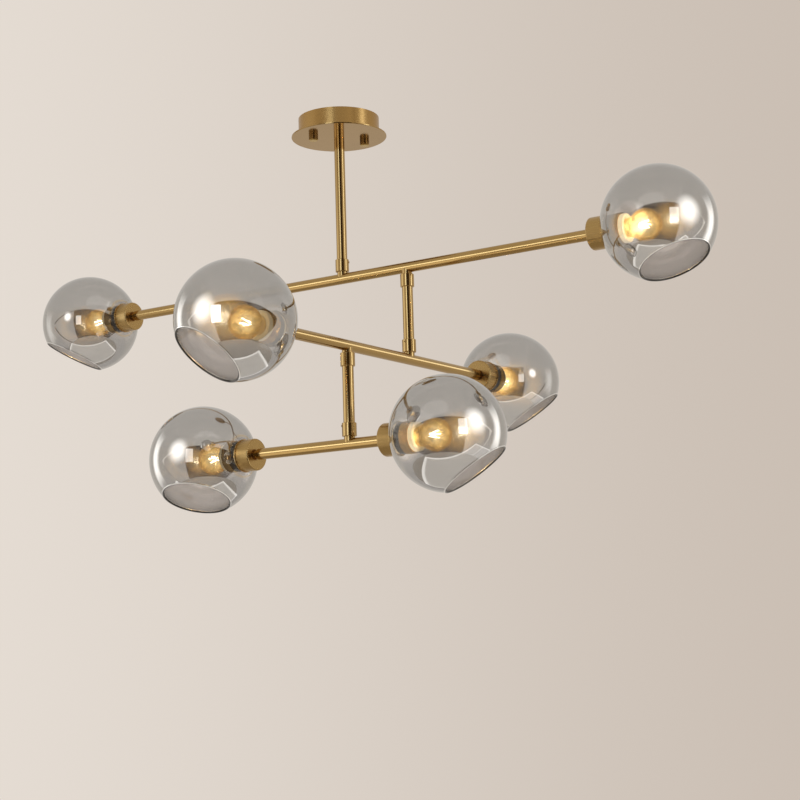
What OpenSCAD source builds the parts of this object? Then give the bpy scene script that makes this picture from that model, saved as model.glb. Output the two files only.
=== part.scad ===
// Branch chandelier: a ceiling canopy, a stem, and three level arms stacked on
// short drop rods. Each arm turns on a swivel under its rod and carries two
// smoked glass globes with a wide cut mouth.
// Origin: centre of the canopy on the ceiling. +Z up, +X along the upper arm.

/* [Canopy] */
// Width of the round cover plate
plate_d = 145.5; // [138:0.5:200]
// Thickness of the cover plate
plate_t = 1.6; // [1:0.1:3]
// Width of the drum above the cover plate
drum_d = 123.5; // [118:0.5:134]
// Height of the drum
drum_h = 28; // [25:0.5:40]
// Wall of the drum
drum_wall = 1.2; // [0.8:0.1:2]
// Width of the drum's flange, which lies on the cover plate
drum_flange = 5; // [3:0.5:7]
// Turn of the bracket and the thumb nuts away from the upper arm
bracket_turn = 57.5; // [-90:0.5:90]
// Distance between the two thumb nuts
stud_gap = 84; // [80:1:88]
// Width of a thumb nut
thumb_nut_d = 14; // [11:0.5:18]
// Height of a thumb nut
thumb_nut_h = 9; // [7:0.5:15]
// Flutes round a thumb nut
thumb_nut_flutes = 20; // [12:1:28]

/* [Ceiling bracket] */
// Length of the strap
strap_l = 104; // [98:1:110]
// Width of the strap
strap_w = 20; // [16:1:26]
// Thickness of the strap
strap_t = 2; // [1.5:0.1:3]
// Diameter of the hole in the middle of the strap
strap_hole_d = 12; // [8:0.5:14]
// Distance between the two ceiling screws
ceiling_screw_gap = 64; // [60:1:66]
// Diameter of a ceiling screw hole
ceiling_screw_hole_d = 5; // [4:0.1:6]
// Diameter of a stud
stud_d = 4; // [3:0.5:5]

/* [Wiring] */
// Diameter of the cable
cable_d = 6; // [4:0.5:6]
// Radius of the cable's bend in the canopy
cable_bend_r = 10; // [8:0.5:10]
// Length of the terminal block
block_l = 14; // [12:1:14]
// Width of the terminal block
block_w = 24; // [18:1:26]
// Height of the terminal block
block_h = 12; // [10:0.5:13]

/* [Tubes] */
// Outer diameter of the stem, the rods and the arms
tube_d = 16; // [14:0.5:20]
// Wall of the tubes
tube_wall = 1.5; // [1:0.1:2]
// Drop from the cover plate to the middle of the upper arm
stem_drop = 221.4; // [120:0.2:600]
// Drop from the middle of one arm to the next
arm_drop = 138; // [110:1:200]
// Upper arm: stem to the middle of each globe
upper_reach = 524; // [420:1:700]
// Upper arm: stem to the first rod
rod_1_offset = 117; // [60:1:140]
// Middle arm: first rod to the middle of the front globe
middle_front_reach = 398.5; // [380:0.5:420]
// Middle arm: first rod to the middle of the back globe
middle_back_reach = 291; // [260:1:310]
// Middle arm: first rod to the second rod
rod_2_offset = 156; // [130:1:170]
// Lower arm: second rod to the middle of the left globe
lower_left_reach = 262.5; // [240:0.5:280]
// Lower arm: second rod to the middle of the right globe
lower_right_reach = 159.5; // [155:0.5:165]

/* [Swivel joints] */
// Wall of a collar
collar_wall = 2.2; // [1.5:0.1:3.5]
// Height of a collar
collar_h = 19; // [16:0.5:26]
// Height of the bare neck between an arm and a collar
neck_h = 2.2; // [1.5:0.1:5]
// Width of the neck's shoulder
neck_shoulder = 1.3; // [0.8:0.1:1.4]
// Diameter of a set screw
set_screw_d = 3; // [2:0.5:4]
// Distance of a set screw from the far end of its collar
set_screw_inset = 4; // [3.5:0.5:5]
// How far a set screw stands out of its collar
set_screw_proud = 0.7; // [0.2:0.1:1.5]
// Depth of the groove that the set screw runs in
groove_depth = 1.3; // [0.8:0.1:1.5]

/* [Lamp sockets] */
// Thread diameter of a lamp holder
holder_d = 40.4; // [36:0.1:44]
// How far a lamp holder reaches into its globe
holder_reach = 32; // [28:0.5:36]
// Gap between a lamp holder and its cup
cup_gap = 1.3; // [0.6:0.1:3]
// Wall of a cup
cup_wall = 1.5; // [1:0.1:2.5]
// Length of a cup
cup_l = 23; // [21:0.5:30]
// Rounding of a cup's end
cup_rounding = 2; // [0.5:0.1:3]
// How far a cup's lip stands out
cup_lip = 1; // [0.4:0.1:2]
// Length of the neck between a cup and its arm
cup_neck_l = 4; // [2:0.5:8]
// Diameter of the neck between a cup and its arm
cup_neck_d = 11; // [10.6:0.1:11.6]
// How far the neck reaches into the arm
cup_plug_l = 9; // [6:0.5:14]
// Wall of the gasket ring inside the glass
gasket_wall = 1.75; // [1:0.05:3]
// Length of the gasket ring
gasket_l = 9; // [5:0.5:10]
// Wall of the shade ring
shade_ring_wall = 2.25; // [1:0.05:3]
// Length of the shade ring
shade_ring_l = 12.8; // [6:0.2:14]

/* [Bulbs] */
// Diameter of a bulb
bulb_d = 45; // [42:1:50]
// Length of a bulb with its cap
bulb_l = 72; // [68:1:76]
// Diameter of a bulb's screw cap
bulb_cap_d = 26.4; // [24:0.1:28]
// Length of a bulb's screw cap
bulb_cap_l = 22; // [20:0.5:24]
// Wall of a bulb's glass
bulb_wall = 0.9; // [0.6:0.1:1.5]

/* [Glass globes] */
// Diameter of a globe
globe_d = 158; // [146:1:160]
// Thickness of the glass
glass_t = 2.5; // [1.5:0.1:4]
// Diameter of the cut mouth
mouth_d = 98; // [80:1:104]

/* [Mouth directions] */
// Upper left mouth: tilt away from the line of its arm
upper_left_tilt = 70; // [0:1:110]
// Upper left mouth: turn about the line of its arm
upper_left_turn = 17; // [-180:1:180]
// Upper right mouth: tilt away from the line of its arm
upper_right_tilt = 68; // [0:1:110]
// Upper right mouth: turn about the line of its arm
upper_right_turn = -6; // [-180:1:180]
// Middle front mouth: tilt away from the line of its arm
middle_front_tilt = 55; // [0:1:110]
// Middle front mouth: turn about the line of its arm
middle_front_turn = -21; // [-180:1:180]
// Middle back mouth: tilt away from the line of its arm
middle_back_tilt = 76; // [0:1:110]
// Middle back mouth: turn about the line of its arm
middle_back_turn = -31; // [-180:1:180]
// Lower left mouth: tilt away from the line of its arm
lower_left_tilt = 94; // [0:1:110]
// Lower left mouth: turn about the line of its arm
lower_left_turn = 21; // [-180:1:180]
// Lower right mouth: tilt away from the line of its arm
lower_right_tilt = 58; // [0:1:110]
// Lower right mouth: turn about the line of its arm
lower_right_turn = 15; // [-180:1:180]

/* [Clearances] */
// Radial clearance of a turned fit
fit = 0.05; // [0.03:0.01:0.1]
// Gap between faces that run past each other
play = 0.3; // [0.2:0.05:0.5]
// Radial gap between a globe and its lamp holder
glass_play = 0.35; // [0.25:0.05:0.8]

/* [Hidden] */
$fn = 96;

canopy_h = drum_h + plate_t;
stem_z = -canopy_h - stem_drop;

// One row an arm: pivot, direction, reach behind and ahead of the pivot,
// and the place of the rod below it (none on the lowest arm)
ARMS = [
    [[0, 0, stem_z], 0, upper_reach, upper_reach, rod_1_offset],
    [[rod_1_offset, 0, stem_z - arm_drop], 90, middle_front_reach, middle_back_reach, -rod_2_offset],
    [[rod_1_offset, -rod_2_offset, stem_z - 2 * arm_drop], 0, lower_left_reach, lower_right_reach, undef],
];
function pivot(i) = ARMS[i][0];
function heading(i) = ARMS[i][1];
function rod_at(i) = ARMS[i][4];

// One row a socket: name, arm, -1 behind or 1 ahead of the pivot, tilt and turn of the mouth
SOCKETS = [
    ["arm_1_left", 0, -1, upper_left_tilt, upper_left_turn],
    ["arm_1_right", 0, 1, upper_right_tilt, upper_right_turn],
    ["arm_2_front", 1, -1, middle_front_tilt, middle_front_turn],
    ["arm_2_back", 1, 1, middle_back_tilt, middle_back_turn],
    ["arm_3_left", 2, -1, lower_left_tilt, lower_left_turn],
    ["arm_3_right", 2, 1, lower_right_tilt, lower_right_turn],
];
function sockets_of(i) = [for (s = SOCKETS) if (s[1] == i) s];
function reach(s) = ARMS[s[1]][s[2] < 0 ? 2 : 3];
function spigots_node(i) = str("arm_", i + 1, is_undef(rod_at(i)) ? "_spigot" : "_spigots");

// Tubes and swivels, measured from an arm's centre line
tube_r = tube_d / 2;
tube_bore_r = tube_r - tube_wall;
shank_r = tube_bore_r - fit;
neck_r = shank_r + neck_shoulder;
shoulder_at = tube_r + neck_h;
tube_start = shoulder_at + play;
collar_end = tube_start + collar_h;
collar_r = tube_r + fit + collar_wall;
screw_at = collar_end - set_screw_inset;
screw_r = set_screw_d / 2;
shank_end = collar_end + 1;
groove_r = shank_r - groove_depth;
groove_w = set_screw_d + 2 * play;
wire_bore_r = cable_d / 2 + 0.5;
cord_grip_r = cable_d / 2 + play;
spigot_foot_r = wire_bore_r + 1.5;

// Directions in which the set screws face
stem_screw_heading = 34;
rod_screw_heading = [-90, 214];
fixed_screw_heading = 90;

// Socket places, measured from a globe's centre towards its arm
globe_r = globe_d / 2;
holder_r = holder_d / 2;
glass_hole_r = holder_r + glass_play;
gasket_r = holder_r + fit + gasket_wall;
shade_ring_r = holder_r + fit + shade_ring_wall;
cup_r = holder_r + cup_gap + cup_wall;
lip_r = cup_r + cup_lip;
lip_at = sqrt(pow(globe_r, 2) - pow(glass_hole_r, 2)) + play;
cup_face_at = lip_at + cup_l;
arm_end_at = cup_face_at + cup_neck_l;
gasket_at = sqrt(pow(globe_r - glass_t, 2) - pow(gasket_r, 2)) - play;
shade_ring_at = gasket_at - gasket_l;
holder_front_at = lip_at - holder_reach;
mouth_at = sqrt(pow(globe_r, 2) - pow(mouth_d / 2, 2));
cup_bore_r = 5;
cup_floor = 2;
cup_neck_r = cup_neck_d / 2;
cup_plug_r = tube_bore_r - fit;
holder_back_r = 16;
holder_thread_l = 4;
holder_boss_l = 3;
bulb_cap_r = bulb_cap_d / 2;
socket_bore_r = bulb_cap_r + 0.4;
socket_depth = bulb_cap_l + 2;
socket_floor_at = holder_front_at + socket_depth;
bulb_tip_at = socket_floor_at - play;
bulb_ball_at = bulb_tip_at - bulb_l + bulb_d / 2;
cord_grip_at = socket_floor_at + 3;

// Canopy places
nut_t = 3.2;
stud_nut_r = stud_d + 0.1;
nipple_r = 5;
nipple_nut_r = 8.1;
nipple_top = -drum_h + nut_t + 1.5;
block_at = cable_bend_r + 3;
earth_screw_at = 18;

// ---- placing ----

module on_arm(i) {
    translate(pivot(i)) rotate(heading(i)) children();
}

// Local +Z runs from the globe's centre to the arm, local +X hangs down
module at_socket(s) {
    on_arm(s[1]) translate([s[2] * reach(s), 0, 0]) rotate([0, 90, s[2] < 0 ? 0 : 180]) children();
}

module on_bracket() {
    rotate(bracket_turn) children();
}

module both_studs() {
    for (side = [-1, 1]) on_bracket() translate([side * stud_gap / 2, 0, 0]) children();
}

module pipe(outer_r, inner_r, from, to) {
    translate([0, 0, from]) difference() {
        cylinder(r = outer_r, h = to - from);
        translate([0, 0, -1]) cylinder(r = inner_r, h = to - from + 2);
    }
}

// ---- canopy ----

module ceiling_bracket() {
    color("silver") on_bracket() translate([0, 0, -strap_t]) linear_extrude(strap_t) difference() {
        union() {
            square([strap_l - strap_w, strap_w], center = true);
            for (side = [-1, 1]) translate([side * (strap_l - strap_w) / 2, 0]) circle(d = strap_w);
        }
        circle(d = strap_hole_d);
        for (side = [-1, 1]) {
            translate([side * ceiling_screw_gap / 2, 0]) circle(d = ceiling_screw_hole_d);
            translate([side * stud_gap / 2, 0]) circle(r = stud_d / 2 + fit);
        }
        translate([-earth_screw_at, 0]) circle(r = stud_d / 2 + fit);
    }
}

module bracket_studs() {
    stud_l = canopy_h + thumb_nut_h - 2;
    color("silver") both_studs() translate([0, 0, -stud_l]) cylinder(d = stud_d, h = stud_l);
}

module stud_nuts() {
    color("silver") both_studs() translate([0, 0, -strap_t - nut_t]) difference() {
        cylinder(r = stud_nut_r, h = nut_t, $fn = 6);
        translate([0, 0, -1]) cylinder(r = stud_d / 2 + fit, h = nut_t + 2);
    }
}

module earth_screw() {
    washer_t = 0.8;
    head_h = 2.6;
    head_end = strap_t + washer_t + head_h;
    slot_w = 1;
    slot_h = 1.7;
    color("silver") on_bracket() translate([-earth_screw_at, 0, -head_end]) difference() {
        union() {
            cylinder(r = stud_d * 0.95, h = head_h);
            translate([0, 0, head_h]) cylinder(r = stud_d, h = washer_t);
            translate([0, 0, head_h - 1]) cylinder(d = stud_d, h = head_end - head_h + 1);
        }
        cube([stud_d * 1.5, slot_w, 2 * slot_h], center = true);
    }
}

module terminal_block() {
    poles = 3;
    pole_gap = block_w / poles;
    wire_hole_d = 3.4;
    wire_hole_l = 9;
    screw_hole_d = 3.6;
    screw_hole_l = 3;
    cable_hole_l = 5;
    color("white") on_bracket() translate([block_at, 0, -strap_t]) difference() {
        translate([0, -block_w / 2, -block_h]) cube([block_l, block_w, block_h]);
        for (k = [0:poles - 1]) {
            // the supply side's entries, and the screws that clamp each wire
            translate([block_l + 1, (k - 1) * pole_gap, -block_h / 2])
                rotate([0, -90, 0]) cylinder(d = wire_hole_d, h = wire_hole_l + 1);
            for (x = [0.28, 0.72])
                translate([x * block_l, (k - 1) * pole_gap, -block_h - 1])
                    cylinder(d = screw_hole_d, h = screw_hole_l + 1);
        }
        // the lamp cable's entry
        translate([-1, 0, -block_h / 2]) rotate([0, 90, 0]) cylinder(r = cable_d / 2 + fit, h = cable_hole_l + 1);
    }
}

module canopy_drum() {
    color("darkgoldenrod") {
        pipe(drum_d / 2, drum_d / 2 - drum_wall, -drum_h, 0);
        pipe(drum_d / 2 - drum_wall / 2, drum_d / 2 - drum_wall - drum_flange, -drum_h, -drum_h + drum_wall);
    }
}

module canopy_plate() {
    edge = plate_t / 4;
    color("darkgoldenrod") translate([0, 0, -canopy_h]) difference() {
        union() {
            cylinder(r1 = plate_d / 2 - edge, r2 = plate_d / 2, h = edge);
            translate([0, 0, edge]) cylinder(r = plate_d / 2, h = plate_t - edge);
        }
        translate([0, 0, -1]) cylinder(r = nipple_r + fit, h = plate_t + 2);
        both_studs() translate([0, 0, -1]) cylinder(r = stud_d / 2 + 0.4, h = plate_t + 2);
    }
}

module thumb_nuts() {
    flute_r = thumb_nut_d * 0.05;
    crown_h = 1.2;
    color("darkgoldenrod") both_studs() translate([0, 0, -canopy_h - thumb_nut_h]) difference() {
        union() {
            cylinder(r1 = thumb_nut_d / 2 - crown_h, r2 = thumb_nut_d / 2, h = crown_h);
            translate([0, 0, crown_h]) linear_extrude(thumb_nut_h - crown_h) difference() {
                circle(d = thumb_nut_d);
                for (k = [1:thumb_nut_flutes]) rotate(k * 360 / thumb_nut_flutes)
                    translate([thumb_nut_d / 2 + flute_r / 2, 0]) circle(r = flute_r, $fn = 16);
            }
        }
        translate([0, 0, 1.5]) cylinder(r = stud_d / 2 + fit, h = thumb_nut_h);
    }
}

module stem_nipple() {
    plug_l = 14;
    color("goldenrod") difference() {
        union() {
            translate([0, 0, -canopy_h - 1]) cylinder(r = nipple_r, h = nipple_top + canopy_h + 1);
            translate([0, 0, -canopy_h - plug_l]) cylinder(r = tube_bore_r - fit, h = plug_l);
        }
        translate([0, 0, -canopy_h - plug_l - 1]) cylinder(r = wire_bore_r, h = canopy_h + plug_l);
    }
}

module nipple_nut() {
    color("goldenrod") translate([0, 0, -drum_h]) difference() {
        cylinder(r = nipple_nut_r, h = nut_t, $fn = 6);
        translate([0, 0, -1]) cylinder(r = nipple_r + fit, h = nut_t + 2);
    }
}

// ---- cables ----

// A length of cable that lies along local +Z
module cable(from, to) {
    translate([0, 0, from]) cylinder(d = cable_d, h = to - from);
}

module stem_cable() {
    block_z = -strap_t - block_h / 2;
    bend_z = block_z - cable_bend_r;
    bend_d = cable_d - 0.1;
    lap = 0.3;
    color("dimgray") {
        cable(pivot(0)[2] + shank_end + play, bend_z + lap);
        on_bracket() {
            translate([cable_bend_r, 0, bend_z]) rotate([90, 0, 180]) rotate_extrude(angle = 90)
                translate([cable_bend_r, 0]) circle(d = bend_d);
            translate([cable_bend_r, 0, block_z]) rotate([0, 90, 0]) cable(-lap, block_at - cable_bend_r + 4);
        }
    }
}

// Runs from lamp holder to lamp holder, up the spigot, and down the rod below
module arm_cable(i) {
    stop = cord_grip_at + 1;
    color("dimgray") on_arm(i) {
        rotate([0, 90, 0]) cable(stop - ARMS[i][2], ARMS[i][3] - stop);
        cable(0, shank_end);
        if (!is_undef(rod_at(i))) translate([rod_at(i), 0, 0]) cable(-arm_drop + shank_end + play, 0);
    }
}

// ---- tubes, collars and swivels ----

module stem_tube() {
    color("goldenrod") difference() {
        pipe(tube_r, tube_bore_r, pivot(0)[2] + tube_start, -canopy_h);
        translate([0, 0, pivot(0)[2] + screw_at]) set_screw_hole(stem_screw_heading);
    }
}

module rod_tube(i) {
    color("goldenrod") difference() {
        translate([pivot(i + 1)[0], pivot(i + 1)[1], 0])
            pipe(tube_r, tube_bore_r, pivot(i + 1)[2] + tube_start, pivot(i)[2] - tube_start);
        translate(pivot(i + 1) + [0, 0, screw_at]) set_screw_hole(rod_screw_heading[i]);
        translate(pivot(i + 1) + [0, 0, arm_drop - screw_at]) set_screw_hole(fixed_screw_heading);
    }
}

module set_screw_hole(facing) {
    rotate([0, 90, facing]) cylinder(r = screw_r + fit, h = collar_r + 2);
}

// A collar that stands above the arm's centre line
module collar(facing) {
    bevel = 0.5;
    difference() {
        union() {
            translate([0, 0, tube_start]) cylinder(r1 = collar_r - bevel, r2 = collar_r, h = bevel);
            translate([0, 0, tube_start + bevel]) cylinder(r = collar_r, h = collar_h - 2 * bevel);
            translate([0, 0, collar_end - bevel]) cylinder(r1 = collar_r, r2 = collar_r - bevel, h = bevel);
        }
        translate([0, 0, tube_start - 1]) cylinder(r = tube_r + fit, h = collar_h + 2);
        translate([0, 0, screw_at]) set_screw_hole(facing);
    }
}

// Its tip stands in the spigot's groove, clear of the groove's floor
module set_screw(facing) {
    tip = groove_r + play;
    socket_l = 2;
    rotate([0, 90, facing]) difference() {
        translate([0, 0, tip]) cylinder(r = screw_r, h = collar_r + set_screw_proud - tip);
        translate([0, 0, collar_r + set_screw_proud - socket_l])
            cylinder(r = screw_r * 0.55, h = socket_l + 1, $fn = 6);
    }
}

module stem_collar() {
    color("goldenrod") translate(pivot(0)) collar(stem_screw_heading);
}

module stem_collar_screw() {
    color("darkgoldenrod") translate(pivot(0) + [0, 0, screw_at]) set_screw(stem_screw_heading);
}

module rod_collars(i) {
    color("goldenrod") translate(pivot(i + 1)) {
        collar(rod_screw_heading[i]);
        translate([0, 0, arm_drop]) mirror([0, 0, 1]) collar(fixed_screw_heading);
    }
}

module rod_collar_screws(i) {
    color("darkgoldenrod") translate(pivot(i + 1)) {
        translate([0, 0, screw_at]) set_screw(rod_screw_heading[i]);
        translate([0, 0, arm_drop - screw_at]) set_screw(fixed_screw_heading);
    }
}

module arm_tube(i) {
    back = ARMS[i][2] - arm_end_at;
    ahead = ARMS[i][3] - arm_end_at;
    color("goldenrod") on_arm(i) difference() {
        rotate([0, 90, 0]) pipe(tube_r, tube_bore_r, -back, ahead);
        cylinder(r = spigot_foot_r + fit, h = tube_d);
        if (!is_undef(rod_at(i)))
            translate([rod_at(i), 0, -tube_d]) cylinder(r = spigot_foot_r + fit, h = tube_d);
    }
}

// The hollow spindle that is brazed on an arm: foot, neck, and a grooved shank in the tube above
module spigot() {
    difference() {
        union() {
            translate([0, 0, tube_bore_r - 0.5]) cylinder(r = spigot_foot_r, h = shoulder_at - tube_bore_r);
            difference() {
                cylinder(r = neck_r, h = shoulder_at);
                rotate([0, 90, 0]) cylinder(r = tube_r, h = 3 * tube_d, center = true);
                translate([0, 0, -tube_d]) cylinder(r = tube_d, h = tube_d);
            }
            translate([0, 0, shoulder_at - 0.5]) cylinder(r = shank_r, h = shank_end - shoulder_at + 0.5);
        }
        translate([0, 0, screw_at - groove_w / 2]) pipe(shank_r + 1, groove_r, 0, groove_w);
        cylinder(r = wire_bore_r, h = shank_end + 1);
    }
}

module arm_spigots(i) {
    color("goldenrod") on_arm(i) {
        spigot();
        if (!is_undef(rod_at(i))) translate([rod_at(i), 0, 0]) mirror([0, 0, 1]) spigot();
    }
}

// ---- lamp sockets ----

module cup(s) {
    color("goldenrod") at_socket(s) {
        rotate_extrude() difference() {
            union() {
                translate([0, lip_at]) square([cup_r, cup_l - cup_rounding]);
                translate([0, lip_at]) square([cup_r - cup_rounding, cup_l]);
                translate([cup_r - cup_rounding, cup_face_at - cup_rounding]) circle(r = cup_rounding);
                translate([0, lip_at]) square([lip_r, 1.6]);
                translate([0, cup_face_at - 1]) square([cup_neck_r, cup_neck_l + 2]);
                translate([0, arm_end_at]) square([cup_plug_r, cup_plug_l]);
            }
            translate([0, lip_at - 1]) square([cup_r - cup_wall, cup_l - cup_floor + 1]);
            translate([0, lip_at]) square([cup_bore_r, cup_l + cup_neck_l + cup_plug_l + 1]);
        }
    }
}

module lamp_holder(s) {
    back_at = cup_face_at - cup_floor;
    stub_end = arm_end_at + 2;
    color("ivory") at_socket(s) rotate_extrude() difference() {
        union() {
            translate([0, holder_front_at]) square([holder_r, lip_at + holder_thread_l - holder_front_at]);
            translate([0, lip_at]) square([holder_back_r, cup_l - cup_floor - holder_boss_l]);
            translate([0, back_at - holder_boss_l - 1]) square([cup_bore_r + 3, holder_boss_l + 1]);
            translate([0, back_at - 1]) square([cup_bore_r - fit, stub_end - back_at + 1]);
        }
        translate([0, holder_front_at - 1]) square([socket_bore_r, socket_depth + 1]);
        translate([0, cord_grip_at]) square([cord_grip_r, stub_end - cord_grip_at + 1]);
    }
}

// A hollow bulb: a ball, a neck that narrows before it enters the holder, the cap,
// and the contact at its end
module bulb(s) {
    ball_r = bulb_d / 2;
    neck_at = 0.62 * ball_r;
    neck_r = sqrt(pow(ball_r, 2) - pow(neck_at, 2));
    neck_end = holder_front_at - 0.5;
    tip_l = 2;
    shoulder_l = 1.5;
    barrel_end = bulb_tip_at - tip_l - shoulder_l;
    inner_r = bulb_cap_r - bulb_wall;
    color("khaki") at_socket(s) difference() {
        union() {
            translate([0, 0, bulb_ball_at]) sphere(r = ball_r);
            translate([0, 0, bulb_ball_at + neck_at])
                cylinder(r1 = neck_r, r2 = bulb_cap_r, h = neck_end - bulb_ball_at - neck_at);
            translate([0, 0, neck_end]) cylinder(r = bulb_cap_r, h = barrel_end - neck_end);
            translate([0, 0, barrel_end]) cylinder(r1 = bulb_cap_r, r2 = 5, h = shoulder_l);
            translate([0, 0, bulb_tip_at - tip_l]) cylinder(r = 4.5, h = tip_l);
        }
        translate([0, 0, bulb_ball_at]) sphere(r = ball_r - bulb_wall);
        translate([0, 0, bulb_ball_at + neck_at])
            cylinder(r1 = neck_r - bulb_wall, r2 = inner_r, h = neck_end - bulb_ball_at - neck_at);
        translate([0, 0, neck_end - 1]) cylinder(r = inner_r, h = barrel_end - neck_end);
    }
}

module gaskets(i) {
    color("black") for (s = sockets_of(i)) at_socket(s)
        pipe(gasket_r, holder_r + fit, shade_ring_at, gasket_at);
}

module shade_rings(i) {
    bevel = 0.6;
    from = shade_ring_at - shade_ring_l;
    color("goldenrod") for (s = sockets_of(i)) at_socket(s) difference() {
        union() {
            translate([0, 0, from]) cylinder(r1 = shade_ring_r - bevel, r2 = shade_ring_r, h = bevel);
            translate([0, 0, from + bevel]) cylinder(r = shade_ring_r, h = shade_ring_l - bevel);
        }
        translate([0, 0, from - 1]) cylinder(r = holder_r + fit, h = shade_ring_l + 2);
    }
}

module globe(s) {
    tilt = s[3];
    turn = s[4];
    color("gray", 0.5) at_socket(s) difference() {
        sphere(r = globe_r);
        sphere(r = globe_r - glass_t);
        cylinder(r = glass_hole_r, h = globe_d);
        rotate([0, 180 - tilt, -turn]) translate([0, 0, mouth_at]) cylinder(r = globe_r, h = globe_r);
    }
}

// ---- nodes ----

ceiling_bracket();
bracket_studs();
stud_nuts();
earth_screw();
terminal_block();
canopy_drum();
canopy_plate();
thumb_nuts();
stem_nipple();
nipple_nut();
stem_cable();
stem_tube();
stem_collar();
stem_collar_screw();
for (i = [0:2]) {
    arm_tube(i);
    arm_spigots(i);
    arm_cable(i);
    gaskets(i);
    shade_rings(i);
}
for (i = [0:1]) {
    rod_tube(i);
    rod_collars(i);
    rod_collar_screws(i);
}
for (s = SOCKETS) {
    cup(s);
    lamp_holder(s);
    bulb(s);
    globe(s);
}
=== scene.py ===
import math

import bmesh
import bpy
from mathutils import Matrix, Vector


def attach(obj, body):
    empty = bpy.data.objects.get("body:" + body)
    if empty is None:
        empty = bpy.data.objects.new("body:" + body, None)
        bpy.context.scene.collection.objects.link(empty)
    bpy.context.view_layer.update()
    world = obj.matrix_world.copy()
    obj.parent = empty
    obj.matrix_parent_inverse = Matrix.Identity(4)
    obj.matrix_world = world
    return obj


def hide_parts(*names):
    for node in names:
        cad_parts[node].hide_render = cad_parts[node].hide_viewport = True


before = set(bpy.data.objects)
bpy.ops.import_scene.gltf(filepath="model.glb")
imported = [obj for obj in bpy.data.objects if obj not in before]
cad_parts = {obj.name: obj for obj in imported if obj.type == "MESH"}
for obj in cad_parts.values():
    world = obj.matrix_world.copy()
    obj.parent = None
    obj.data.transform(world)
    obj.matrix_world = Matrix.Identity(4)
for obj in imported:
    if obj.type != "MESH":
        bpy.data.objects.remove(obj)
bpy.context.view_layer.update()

MM = 0.001
UP = Vector((0, 0, 1))
scene = bpy.context.scene

# ---------------------------------------------------------------- camera

CAM_POS = Vector((1.4504, -2.0268, -0.8076))
CAM_AZIMUTH = math.radians(33.71)    # the view runs this far to the left of +Y
CAM_PITCH = math.radians(8.42)       # upwards
CAM_ROLL = math.radians(-1.67)
CAM_FOCAL_PX = 1680.5
CAM_CLIP = (0.05, 60)
IMAGE_PX = 800
SENSOR = 36.0

forward = Vector((-math.sin(CAM_AZIMUTH) * math.cos(CAM_PITCH),
                  math.cos(CAM_AZIMUTH) * math.cos(CAM_PITCH), math.sin(CAM_PITCH)))
# level unit vectors from the object: towards the camera, and to the photograph's right
to_camera = Vector((math.sin(CAM_AZIMUTH), -math.cos(CAM_AZIMUTH), 0))
to_right = Vector((math.cos(CAM_AZIMUTH), math.sin(CAM_AZIMUTH), 0))
cam_right = to_right * math.cos(CAM_ROLL) + to_right.cross(forward) * math.sin(CAM_ROLL)
cam_up = cam_right.cross(forward)

cam_data = bpy.data.cameras.new("camera")
cam_data.sensor_width = SENSOR
cam_data.sensor_fit = "HORIZONTAL"
cam_data.lens = CAM_FOCAL_PX * SENSOR / IMAGE_PX
cam_data.clip_start, cam_data.clip_end = CAM_CLIP
camera = bpy.data.objects.new("camera", cam_data)
camera.matrix_world = (Matrix.Translation(CAM_POS)
                       @ Matrix((cam_right, cam_up, -forward)).transposed().to_4x4())
scene.collection.objects.link(camera)
scene.camera = camera

# ---------------------------------------------------------------- places, as in the CAD (mm)

STEM_Z = -251.0
ARM_DROP = 138.0
GLOBE_R = 79.0
GLASS_T = 2.5
MOUTH_R = 49.0
HOLDER_R = 20.2
GLASS_HOLE_R = 20.55
BULB_R = 22.5

# distances from a globe's centre towards its arm
BULB_AT = 18.78                          # the centre of the bulb's ball
BULB_TIP_AT = 68.28                      # the bulb's contact
LIP_AT = 76.58                           # the cup's open end
FACE_AT = LIP_AT + 23.0                  # the cup's closed end
HOLDER_FRONT_AT = LIP_AT - 32.0
SOCKET_FLOOR_AT = HOLDER_FRONT_AT + 24.0
GASKET_AT = 72.97
SHADE_RING_AT = GASKET_AT - 9.0

# name: globe centre, heading from the globe to its arm (degrees from +X), mouth tilt, mouth turn
SOCKETS = {
    "arm_1_left": ((-524.0, 0.0, STEM_Z), 0, 70, 17),
    "arm_1_right": ((524.0, 0.0, STEM_Z), 180, 68, -6),
    "arm_2_front": ((117.0, -398.5, STEM_Z - ARM_DROP), 90, 55, -21),
    "arm_2_back": ((117.0, 291.0, STEM_Z - ARM_DROP), 270, 76, -31),
    "arm_3_left": ((-145.5, -156.0, STEM_Z - 2 * ARM_DROP), 0, 94, 21),
    "arm_3_right": ((276.5, -156.0, STEM_Z - 2 * ARM_DROP), 180, 58, 15),
}


def socket_matrix(name):
    """Local +Z runs from the globe's centre to the arm, local +X hangs down."""
    centre, heading = SOCKETS[name][:2]
    return (Matrix.Translation(Vector(centre) * MM) @ Matrix.Rotation(math.radians(heading), 4, "Z")
            @ Matrix.Rotation(math.pi / 2, 4, "Y"))


def mouth_matrix(name):
    """Local +Z runs from the globe's centre out through the mouth."""
    tilt, turn = SOCKETS[name][2:]
    return (socket_matrix(name) @ Matrix.Rotation(math.radians(-turn), 4, "Z")
            @ Matrix.Rotation(math.radians(180 - tilt), 4, "Y"))


# ---------------------------------------------------------------- mesh helpers

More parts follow.
